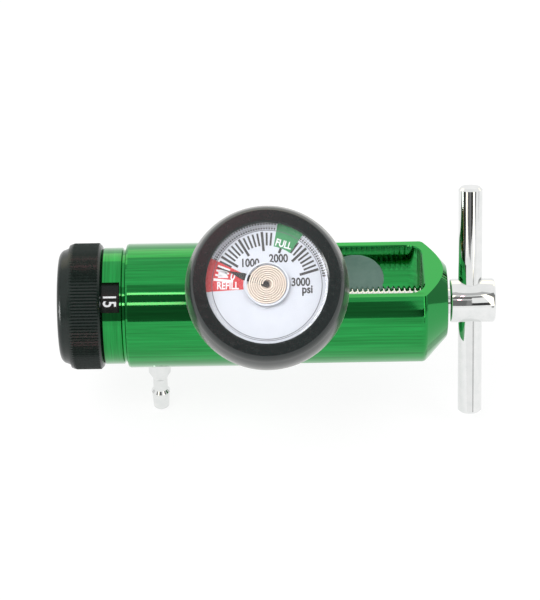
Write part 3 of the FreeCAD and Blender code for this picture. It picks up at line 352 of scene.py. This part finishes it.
ZONE_EDGE = 18.4 * MM                   # outer radius of both coloured zones
REFILL_ANGLES = (153.6, 186.0)
REFILL_INNER = 6.9 * MM
REFILL_INNER_ANGLES = (191.0, 154.0)
REFILL_STEPS = 12
FULL_ANGLES = (53.7, 79.5)
FULL_INNER = 11.4 * MM
REFILL_BLOCK = ((-14.2, 2.2), (-11.5, 2.1), (-11.4, 4.4), (-14.0, 4.6))     # millimetres

# Text on the dial: name, text, size, radius, angle of its place, its turn, ink, how much
# bolder, how narrow. Sizes are in millimetres.
DIAL_TEXT = (
    ("numeral_1000", "1000", 3.35, 8.0, 127.5, 0, "black", 0.1, 0.82),
    ("numeral_2000", "2000", 3.35, 8.3, 65.5, 0, "black", 0.1, 0.82),
    ("numeral_3000", "3000", 3.35, 9.8, 3, 0, "black", 0.1, 0.82),
    ("numeral_0", "0", 3.2, 10.2, 166, -14, "white", 0.08, 0.84),
    ("unit", "psi", 3.3, 11.8, -8, 0, "black", 0.1, 0.88),
    ("word_refill", "REFILL", 3.0, 11.4, 181.2, -1, "white", 0.09, 0.76),
    ("word_full", "FULL", 2.9, 12.75, 67.2, -17, "white", 0.09, 0.76),
)


def polar(radius, degrees):
    return radius * math.cos(math.radians(degrees)), radius * math.sin(math.radians(degrees))


def arc(radius, start, end, steps):
    return [polar(radius, start + (end - start) * i / steps) for i in range(steps + 1)]


def sector(inner, outer, start, end, steps=16):
    """Part of a ring between two angles."""
    return arc(outer, start, end, steps) + arc(inner, start, end, steps)[::-1]


def ring(radius, width, count=72):
    """A whole ring, in short sectors."""
    inner, outer = radius - width / 2, radius + width / 2
    return [sector(inner, outer, 360 * i / count, 360 * (i + 1) / count, 2) for i in range(count)]


def tick(radii, width, degrees):
    inner, outer = radii
    half = width / 2
    c, s = polar(1, degrees)
    corners = ((inner, -half), (outer, -half), (outer, half), (inner, half))
    return [(r * c - w * s, r * s + w * c) for r, w in corners]


def scale_angle(value):
    return ZERO_ANGLE + (FULL_ANGLE - ZERO_ANGLE) * value / SCALE_END


def between(angle, zone):
    return zone[0] < angle < zone[1]


def print_on_dial(name, outlines, color, layer=1):
    """Thin printed shapes on the dial, each from an outline of (x, y)."""
    bm = bmesh.new()
    floor_z = DIAL_FACE + (layer - 1) * PRINT_THICKNESS
    for outline in outlines:
        face = bm.faces.new([bm.verts.new((x, y, floor_z)) for x, y in outline])
        top = bmesh.ops.extrude_face_region(bm, geom=[face])
        lifted = [v for v in top["geom"] if isinstance(v, bmesh.types.BMVert)]
        bmesh.ops.translate(bm, verts=lifted, vec=(0, 0, PRINT_THICKNESS))
    bm.transform(GAUGE_PLACE)
    add_piece(name, mesh_from(bm, name), "body", INK[color])


def letters(text, size, bold):
    """The outline font as a flat mesh, centred on its origin."""
    curve = bpy.data.curves.new("letters", "FONT")
    curve.body = text
    curve.size = size
    curve.align_x = "CENTER"
    curve.align_y = "CENTER"
    curve.offset = bold
    curve.resolution_u = FONT_STEPS
    curve.extrude = PRINT_THICKNESS / 2
    holder = add_object("letters", curve)
    bpy.context.view_layer.update()
    shown = holder.evaluated_get(bpy.context.evaluated_depsgraph_get())
    mesh = bpy.data.meshes.new_from_object(shown)
    bpy.data.objects.remove(holder)
    bpy.data.curves.remove(curve)
    return mesh


def text_on_dial(name, text, size, radius, degrees, turn, color, bold, narrow):
    mesh = letters(text, size * MM, bold * MM)
    x, y = polar(radius * MM, degrees)
    mesh.transform(
        GAUGE_PLACE
        @ Matrix.Translation((x, y, DIAL_FACE + TEXT_LEVEL * PRINT_THICKNESS))
        @ Matrix.Rotation(math.radians(turn), 4, "Z")
        @ Matrix.Diagonal((narrow, 1, 1, 1))
    )
    add_piece(name, mesh, "body", INK[color])


def dial_print():
    """Scale, numerals and the two coloured zones."""
    refill = arc(ZONE_EDGE, *REFILL_ANGLES, REFILL_STEPS)
    refill += arc(REFILL_INNER, *REFILL_INNER_ANGLES, REFILL_STEPS)
    print_on_dial("refill_zone", [refill], "red")
    print_on_dial("full_zone", [sector(FULL_INNER, ZONE_EDGE, *FULL_ANGLES)], "green")

    dark = [tick(ZONE_TICK, MAJOR_WIDTH, scale_angle(ZONE_TICK_VALUE))]
    pale = []
    for value in range(0, SCALE_END + 1, SCALE_STEP):
        angle = scale_angle(value)
        if value % MAJOR_STEP == 0:
            shape = tick(MAJOR_TICK, MAJOR_WIDTH, angle)
        else:
            shape = tick(MINOR_TICK, MINOR_WIDTH, angle)
        if between(angle, REFILL_ANGLES):
            pale.append(shape)
        elif not between(angle, FULL_ANGLES):
            dark.append(shape)
    track = []
    for value in range(TRACK_STEP, TRACK_END, TRACK_STEP):
        angle = scale_angle(value)
        if not between(angle, REFILL_ANGLES) and not between(angle, FULL_ANGLES):
            track += [tick(row, TRACK_WIDTH, angle) for row in TRACK_ROWS]
    print_on_dial("scale_ticks", dark, "black")
    print_on_dial("scale_track", track, "black")
    print_on_dial("coil_floor", ring(*COIL_FLOOR, 24), "cream")
    print_on_dial("low_ticks", pale, "white", layer=2)
    print_on_dial("scale_ring", ring(*RING), "grey", layer=2)
    block = [(x * MM, y * MM) for x, y in REFILL_BLOCK]
    print_on_dial("low_block", [block], "white", layer=2)
    for row in DIAL_TEXT:
        text_on_dial(*row)


# Flow numbers on the skirt. The last one, 15, faces the collar's window at rest.

skirt_low, skirt_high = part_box("number_skirt")
SKIRT_RADIUS = (skirt_high.y - skirt_low.y) / 2
FLOWS = ("0", "1/2", "1", "1.5", "2", "2.5", "3", "4", "6", "8", "10", "15")
READING_ANGLE = 47.9            # of the number in the window, from the top towards the user
NUMBER_PLACE = 1.65 * MM        # of the numbers' middle, from the collar's left end
NUMBER_SIZE = 5.5 * MM
NUMBER_BOLD = 0.1 * MM
NUMBER_NARROW = 0.76
NUMBER_STEP = 0.35 * MM         # width of the strips that follow the curve


def wrap(mesh, x, degrees, radius):
    """Bend flat letters round the body axis: text up points to +X, text runs to the user."""
    bm = bmesh.new()
    bm.from_mesh(mesh)
    left = min(v.co.x for v in bm.verts)
    right = max(v.co.x for v in bm.verts)
    cut = left + NUMBER_STEP
    while cut < right:
        geometry = bm.verts[:] + bm.edges[:] + bm.faces[:]
        bmesh.ops.bisect_plane(bm, geom=geometry, plane_co=(cut, 0, 0), plane_no=(1, 0, 0))
        cut += NUMBER_STEP
    for vert in bm.verts:
        along, up, out = vert.co
        angle = math.radians(degrees) + along / radius
        reach = radius + out
        vert.co = (x + up, -reach * math.sin(angle), reach * math.cos(angle))
    return mesh_from(bm, mesh.name)


def flow_numbers():
    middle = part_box("bonnet_collar")[0].x + NUMBER_PLACE
    for index, text in enumerate(FLOWS):
        turn = READING_ANGLE + 360 * (index + 1) / len(FLOWS)
        flat = letters(text, NUMBER_SIZE, NUMBER_BOLD)
        flat.transform(Matrix.Diagonal((NUMBER_NARROW, 1, 1, 1)))
        shape = wrap(flat, middle, turn, SKIRT_RADIUS + PRINT_THICKNESS)
        name = "flow_number_" + text.replace("/", "_")
        add_piece(name, shape, "flow_selector", INK["white"])


# Pieces whose mesh is a changed copy of their node's

KNOB_SKIN = 17.0 * MM           # whatever is further from the axis belongs to the knob's skin,
KNOB_END_SKIN = 2.9 * MM        # and so does this much of its left end
KNOB_DOME = 4.05 * MM           # the dome moves as one, and the rest less and less
KNOB_REACH = (1.05 * MM, 0.35 * MM)     # how far its left and right ends move to the left
COLLAR_REACH = 0.6 * MM         # how far the collar's left rim moves
COLLAR_RIM = 0.4 * MM


def reshaped(name, node, body, finish, shift):
    """A copy of a node's mesh whose vertices move along X by shift(x, radius)."""
    mesh = frame["nodes"][node].data.copy()
    mesh.name = name
    for vert in mesh.vertices:
        vert.co.x += shift(vert.co.x, vert.co.yz.length)
    piece = add_piece(name, mesh, body, FINISH[finish])
    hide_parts(node)
    return piece


def longer_knob():
    """The knob with its outer skin drawn out to the left, and its bore as it is."""
    low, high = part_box("flow_knob")
    dome_end = low.x + KNOB_DOME

    def shift(x, radius):
        if radius < KNOB_SKIN and x > low.x + KNOB_END_SKIN:
            return 0.0
        share = max(0.0, (x - dome_end) / (high.x - dome_end))
        return -KNOB_REACH[0] + (KNOB_REACH[0] - KNOB_REACH[1]) * share

    reshaped("flow_knob_skin", "flow_knob", "flow_selector", "black_knob", shift)


def longer_collar():
    rim_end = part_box("bonnet_collar")[0].x + COLLAR_RIM
    reshaped(
        "bonnet_collar_skin", "bonnet_collar", "body", "green_turned",
        lambda x, radius: -COLLAR_REACH if x < rim_end else 0.0,
    )


def live_spring():
    """The piston's spring as a piece with a mesh of its own, in the node's shape."""
    spring = reshaped(
        "piston_spring_live", "piston_spring", "body", "steel",
        lambda x, radius: 0.0,
    )
    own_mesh(spring)


# Clamp screw with its real thread, sixteen turns an inch

SCREW_SIDES = 64
ROD_RADIUS = 4.7625 * MM
NECK_RADIUS = 4.0 * MM
NECK_START = 0.1 * MM           # from the end of the thread
THREAD_PITCH = 25.4 / 16 * MM
THREAD_DEPTH = 0.95 * MM
THREAD_FLANK = 1.25             # how steep the flanks are; above 1 the crests are flat
THREAD_STEPS = 14               # rows for one turn
THREAD_INSET = 0.6 * MM         # the thread ends this far inside the yoke's end
THREAD_RUN_OUT = 0.8 * MM
TIP_LENGTH = 1.1 * MM           # of the taper at the tip
TIP_DROP = 0.9 * MM
HUB_GAP = 1.0 * MM              # from the yoke's end to the hub
# The hub's edges, in millimetres: from its end, and in from its radius
HUB_LEFT = ((0, 0.5), (0.175, 0.15), (0.5, 0))
HUB_RIGHT = ((0.9, 0), (0.35, 0.2), (0, 0.8))
SHARP_ANGLE = 32


def thread_radius(x, angle, start, end):
    """The rod's radius on its thread, with the taper at the tip and the run-out at the end."""
    phase = ((x - start) / THREAD_PITCH - angle / (2 * math.pi)) % 1.0
    depth = THREAD_DEPTH * max(0.0, 1 - abs(2 * phase - 1) * THREAD_FLANK)
    run_out = max(0.0, (x - end + THREAD_RUN_OUT) / THREAD_RUN_OUT)
    taper = ROD_RADIUS - TIP_DROP + (x - start) * TIP_DROP / TIP_LENGTH
    return min(ROD_RADIUS - depth * (1 - run_out), taper)


def threaded_screw():
    low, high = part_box("tee_screw")
    yoke_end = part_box("yoke_body")[1].x
    thread_end = yoke_end - THREAD_INSET
    hub_start = yoke_end + HUB_GAP
    hub_radius = (high.y - low.y) / 2
    angles = [2 * math.pi * side / SCREW_SIDES for side in range(SCREW_SIDES)]
    step = THREAD_PITCH / THREAD_STEPS
    rings = []
    for row in range(int((thread_end - low.x) / step) + 1):
        x = low.x + row * step
        rings.append((x, [thread_radius(x, angle, low.x, thread_end) for angle in angles]))
    outline = [(thread_end + NECK_START, NECK_RADIUS), (hub_start, NECK_RADIUS)]
    outline += [(hub_start + x * MM, hub_radius - drop * MM) for x, drop in HUB_LEFT]
    outline += [(high.x - x * MM, hub_radius - drop * MM) for x, drop in HUB_RIGHT]
    rings += [(x, [radius] * SCREW_SIDES) for x, radius in outline]

    bm = bmesh.new()
    rows = [
        [bm.verts.new((x, -r * math.sin(a), r * math.cos(a))) for r, a in zip(radii, angles)]
        for x, radii in rings
    ]
    for near, far in zip(rows, rows[1:]):
        for side in range(SCREW_SIDES):
            after = (side + 1) % SCREW_SIDES
            bm.faces.new((near[side], near[after], far[after], far[side]))
    bm.faces.new(reversed(rows[0]))
    bm.faces.new(rows[-1])
    mesh = mesh_from(bm, "tee_screw_threaded")
    finish = FINISH["bright_chrome"]
    piece = add_piece("tee_screw_threaded", mesh, "clamp_screw", finish)
    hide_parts("tee_screw")
    mesh.shade_smooth()
    mesh.set_sharp_from_angle(angle=math.radians(SHARP_ANGLE))


# Studio

WORLD_LEVEL = 0.75              # on dull surfaces; where the world is seen it is 1
WORLD_SEEN = 1.0
FLOOR_GAP = 0.5 * MM
FLOOR_HALF = 3.0
FLOOR_GREY = 0.8                # where it lights dull surfaces
FLOOR_SEEN_GREY = 0.2           # where it is seen, with a glow
FLOOR_SEEN_GLOW = 0.84
LAMP_SIZE = 0.5
LAMPS = (                       # name, place and power; both point at the origin
    ("key", (-0.35, -0.45, 0.75), 3.2),
    ("fill", (0.5, -0.3, 0.5), 1.2),
)
CARD_DISTANCE = 0.4
CARD_STEPS = 12
CREAM = (1.0, 0.95, 0.8)
ROSE = (1.0, 0.38, 0.46)
# Cards on a drum round the object, which only reflections see: name, from and to which
# azimuth (0 is the user, 90 the clamp's end) and elevation, strength and colour
CARDS = (
    ("card_low", (-26, 1.5), (7, 36.8), 0.18, WHITE),
    ("card_low_right", (1.5, 8.2), (7, 36.8), 0.27, WHITE),
    ("strip_middle_left", (-26, -12.9), (36.8, 41.4), 0.8, WHITE),
    ("strip_middle", (-12.9, -7.5), (36.8, 41.4), 11.0, ROSE),
    ("strip_middle_dim", (-7.5, 8.2), (38, 41.4), 0.8, WHITE),
    ("card_high", (-26, 8.2), (41.4, 55.6), 0.2, WHITE),
    ("strip_high_left", (-26, -14.2), (55.6, 59.1), 0.8, WHITE),
    ("strip_high", (-14.2, -7.5), (55.6, 59.1), 11.0, ROSE),
    ("strip_high_dim", (-7.5, 8.2), (56, 59.1), 1.0, WHITE),
    ("hub_line", (8.2, 29), (8, 21), 0.05, WHITE),
    ("hub_shade", (8.2, 29), (47, 56), 0.28, WHITE),
    ("cone_shade", (78, 118), (-5.5, 8), 0.45, WHITE),
    ("card_top", (-60, 60), (60.4, 74), 0.55, WHITE),
    ("side_left", (-59, -41), (4, 60), 0.3, WHITE),
    ("side_right", (42, 69), (4, 60), 0.25, WHITE),
    ("strip_left", (-41, -26), (4, 60), 2.2, CREAM),
    ("strip_right", (29, 42), (4, 60), 2.2, CREAM),
    ("back_left", (-128, -86), (-60, 40), 0.75, WHITE),
    ("back_high", (126, 232), (18, 45), 1.6, CREAM),
    ("spot_left", (-86, -70), (-4, 9), 16.0, WHITE),
    ("edge_right", (29, 37), (-30, 4), 0.45, WHITE),
)


def bare_material(name):
    """A material with nothing but its output."""
    material = bpy.data.materials.new(name)
    material.use_nodes = True
    nodes = material.node_tree.nodes
    nodes.remove(nodes["Principled BSDF"])
    return material, nodes, material.node_tree.links


def colored(nodes, kind, color):
    shader = nodes.new(kind)
    shader.inputs["Color"].default_value = (*color, 1)
    return shader


def seen_directly(nodes, links):
    """1 for camera, glossy and transmission rays."""
    path = nodes.new("ShaderNodeLightPath")
    total = path.outputs["Is Camera Ray"]
    for kind in ("Is Glossy Ray", "Is Transmission Ray"):
        either = nodes.new("ShaderNodeMath")
        either.operation = "MAXIMUM"
        links.new(total, either.inputs[0])
        links.new(path.outputs[kind], either.inputs[1])
        total = either.outputs["Value"]
    return total


def world():
    space = bpy.data.worlds.new("studio")
    bpy.context.scene.world = space
    space.use_nodes = True
    nodes, links = space.node_tree.nodes, space.node_tree.links
    background = nodes["Background"]
    background.inputs["Color"].default_value = (*WHITE, 1)
    level = nodes.new("ShaderNodeMapRange")
    level.inputs["To Min"].default_value = WORLD_LEVEL
    level.inputs["To Max"].default_value = WORLD_SEEN
    links.new(seen_directly(nodes, links), level.inputs["Value"])
    links.new(level.outputs["Result"], background.inputs["Strength"])


def floor():
    bm = bmesh.new()
    bmesh.ops.create_grid(bm, x_segments=1, y_segments=1, size=FLOOR_HALF)
    bmesh.ops.translate(bm, verts=bm.verts, vec=(0, 0, cad_bounds[0][2] - FLOOR_GAP))
    plane = add_object("floor", mesh_from(bm, "floor"))
    material, nodes, links = bare_material("floor_white")
    plain = colored(nodes, "ShaderNodeBsdfDiffuse", (FLOOR_GREY,) * 3)
    shaded = colored(nodes, "ShaderNodeBsdfDiffuse", (FLOOR_SEEN_GREY,) * 3)
    glow = nodes.new("ShaderNodeEmission")
    glow.inputs["Strength"].default_value = FLOOR_SEEN_GLOW
    total = nodes.new("ShaderNodeAddShader")
    either = nodes.new("ShaderNodeMixShader")
    links.new(shaded.outputs["BSDF"], total.inputs[0])
    links.new(glow.outputs["Emission"], total.inputs[1])
    links.new(seen_directly(nodes, links), either.inputs["Fac"])
    links.new(plain.outputs["BSDF"], either.inputs[1])
    links.new(total.outputs["Shader"], either.inputs[2])
    links.new(either.outputs["Shader"], nodes["Material Output"].inputs["Surface"])
    plane.data.materials.append(material)


def lamp(name, place, power):
    data = bpy.data.lights.new(name, "AREA")
    data.shape = "DISK"
    data.size = LAMP_SIZE
    data.energy = power
    light = add_object(name, data)
    light.location = place
    light.rotation_euler = (-Vector(place)).to_track_quat("-Z", "Y").to_euler()
    light.visible_glossy = False


def card(name, azimuths, elevations, strength, color):
    bm = bmesh.new()
    heights = [CARD_DISTANCE * math.tan(math.radians(e)) for e in elevations]
    columns = []
    for i in range(CARD_STEPS + 1):
        azimuth = math.radians(azimuths[0] + (azimuths[1] - azimuths[0]) * i / CARD_STEPS)
        x, y = CARD_DISTANCE * math.sin(azimuth), -CARD_DISTANCE * math.cos(azimuth)
        columns.append([bm.verts.new((x, y, z)) for z in heights])
    for a, b in zip(columns, columns[1:]):
        bm.faces.new((a[0], b[0], b[1], a[1]))
    material, nodes, links = bare_material(name)
    glow = colored(nodes, "ShaderNodeEmission", color)
    glow.inputs["Strength"].default_value = strength
    links.new(glow.outputs["Emission"], nodes["Material Output"].inputs["Surface"])
    piece = add_object(name, mesh_from(bm, name))
    piece.data.materials.append(material)
    piece.visible_camera = False
    piece.visible_diffuse = False
    piece.visible_transmission = False
    piece.visible_volume_scatter = False
    piece.visible_shadow = False


def studio():
    world()
    floor()
    for row in LAMPS:
        lamp(*row)
    for row in CARDS:
        card(*row)


# Camera, fitted to outlines read from the photograph (540 by 600 pixels)

PICTURE_HEIGHT = 600
CAMERA_PLACE = Vector((-4.2, -640.4, 480.3)) * MM
CAMERA_AZIMUTH = -0.366
CAMERA_ELEVATION = 36.796
CAMERA_ROLL = -1.124
FOCAL_PIXELS = 2627.9
SENSOR = 36.0
CLIP_START = 0.01
CLIP_END = 50


def camera():
    azimuth = math.radians(CAMERA_AZIMUTH)
    elevation = math.radians(CAMERA_ELEVATION)
    roll = math.radians(CAMERA_ROLL)
    ahead = Vector((
        math.sin(azimuth) * math.cos(elevation),
        math.cos(azimuth) * math.cos(elevation),
        -math.sin(elevation),
    ))
    level = Vector((math.cos(azimuth), -math.sin(azimuth), 0))
    up = level.cross(ahead)
    right = math.cos(roll) * level + math.sin(roll) * up
    top = math.cos(roll) * up - math.sin(roll) * level
    turn = Matrix((right, top, -ahead)).transposed().to_4x4()
    data = bpy.data.cameras.new("camera")
    data.sensor_fit = "VERTICAL"
    data.sensor_height = SENSOR
    data.lens = FOCAL_PIXELS * SENSOR / PICTURE_HEIGHT
    data.clip_start = CLIP_START
    data.clip_end = CLIP_END
    view = add_object("camera", data)
    view.matrix_world = Matrix.Translation(CAMERA_PLACE) @ turn
    bpy.context.scene.camera = view


dress_frame()
dial_print()
flow_numbers()
longer_knob()
longer_collar()
live_spring()
threaded_screw()
studio()
camera()
bpy.context.scene.view_settings.view_transform = "Standard"
